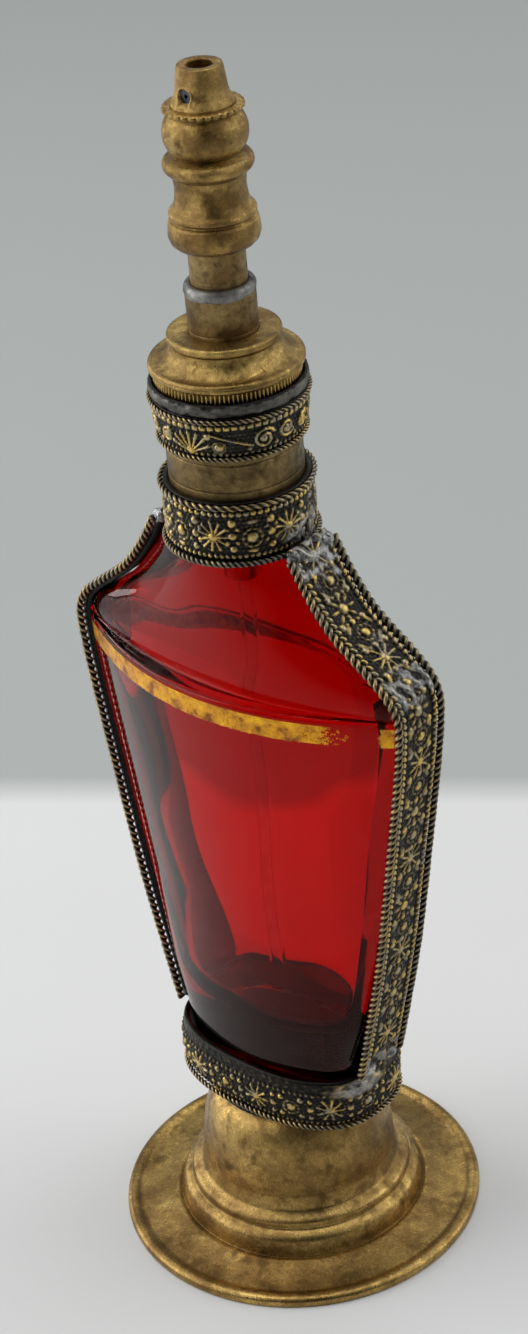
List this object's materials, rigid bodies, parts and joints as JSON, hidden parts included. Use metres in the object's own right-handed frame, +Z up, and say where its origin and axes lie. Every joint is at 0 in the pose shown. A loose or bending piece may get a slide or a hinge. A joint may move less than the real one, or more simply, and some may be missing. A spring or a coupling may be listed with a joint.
{
  "type": "perfume atomiser",
  "caption": "Lens-shaped ruby glass perfume bottle in a soldered frame of stamped strips and twisted wire, on a spun round foot, with a screw-on finger-pump sprayer.",
  "frame": {"origin": "centre of the foot's underside, on the surface it stands on", "axes": "+Z up along the neck; X across the bottle's width, from strap to strap; -Y towards the front panel and the spray nozzle"},
  "size_m": [0.065, 0.06, 0.2],
  "materials": {
    "filigree_pewter": "dark oxidised stamped pewter",
    "twisted_wire": "aged twisted brass wire",
    "brass_relief": "rubbed brass relief",
    "worn_brass": "spun brass with patina",
    "turned_brass": "turned brass, brown patina",
    "ruby_glass": "clear ruby glass",
    "gilding": "worn gilding",
    "pewter": "dull grey pewter",
    "solder": "rough bright solder",
    "nozzle_insert": "dark blue insert",
    "pump_steel": "satin steel",
    "seal_rubber": "matt black",
    "dip_tube_plastic": "translucent ivory"
  },
  "bodies": {
    "bottle": {"foot": "worn_brass", "foot_solder_ring": "solder", "cup_floor": "turned_brass", "cup_band": "filigree_pewter", "cup_lower_wire": "twisted_wire", "cup_rosettes": "brass_relief", "glass_bottle": "ruby_glass", "gilt_stripe_front": "gilding", "gilt_stripe_back": "gilding", "strap_left": "filigree_pewter", "strap_right": "filigree_pewter", "wire_left_front": "twisted_wire", "wire_left_back": "twisted_wire", "wire_right_front": "twisted_wire", "wire_right_back": "twisted_wire", "rosettes_left": "brass_relief", "rosettes_right": "brass_relief", "lower_band": "filigree_pewter", "lower_band_top_wire": "twisted_wire", "lower_band_bottom_wire": "twisted_wire", "lower_band_rosettes": "brass_relief", "neck_sleeve": "worn_brass", "upper_band": "filigree_pewter", "upper_band_top_wire": "twisted_wire", "upper_band_bottom_wire": "twisted_wire", "upper_band_rosettes": "brass_relief", "collar_rim": "pewter", "neck_thread_ring": "turned_brass", "solder_joints": "solder"},
    "pump_unit": {"pump_barrel": "pump_steel", "cap_gasket": "seal_rubber", "stem_bushing": "pump_steel", "stem_seal": "seal_rubber", "valve_housing": "pump_steel", "dip_tube": "dip_tube_plastic", "return_spring": "pump_steel"},
    "cap": {"screw_cap": "turned_brass", "guide_tube": "turned_brass", "guide_ferrule": "solder"},
    "plunger": {"pump_stem": "pump_steel", "piston": "pump_steel", "piston_seal": "seal_rubber", "piston_nut": "pump_steel", "stem_sleeve": "turned_brass"},
    "head": {"spray_head": "turned_brass", "head_bead_disc": "worn_brass", "spray_nozzle": "nozzle_insert", "head_plug": "turned_brass"},
    "inlet_valve": {"inlet_ball": "pump_steel"},
    "outlet_valve": {"outlet_ball": "pump_steel"}
  },
  "joints": [
    {"name": "pump_lift", "type": "slide", "parent": "bottle", "child": "pump_unit", "axis": [0, 0, 1], "range_m": [0, 0.00375]},
    {"name": "cap_turn", "type": "hinge", "parent": "pump_unit", "child": "cap", "pos_m": [0, 0, 0.155], "axis": [0, 0, 1], "range_deg": [0, 901]},
    {"name": "press", "type": "slide", "parent": "pump_unit", "child": "plunger", "axis": [0, 0, -1], "range_m": [0, 0.0053], "stiffness_N_per_m": 500, "springref_m": -0.004, "deforming": ["return_spring"]},
    {"name": "head_swivel", "type": "hinge", "parent": "plunger", "child": "head", "pos_m": [0, 0, 0.18], "axis": [0, 0, 1], "continuous": true},
    {"name": "inlet_ball_lift", "type": "slide", "parent": "pump_unit", "child": "inlet_valve", "axis": [0, 0, 1], "range_m": [0, 0.0012]},
    {"name": "outlet_ball_lift", "type": "slide", "parent": "plunger", "child": "outlet_valve", "axis": [0, 0, 1], "range_m": [0, 0.0012]}
  ],
  "couplings": [
    {"joint": "cap_turn", "follows": "pump_lift", "rad_per_m": 4188.8}
  ]
}
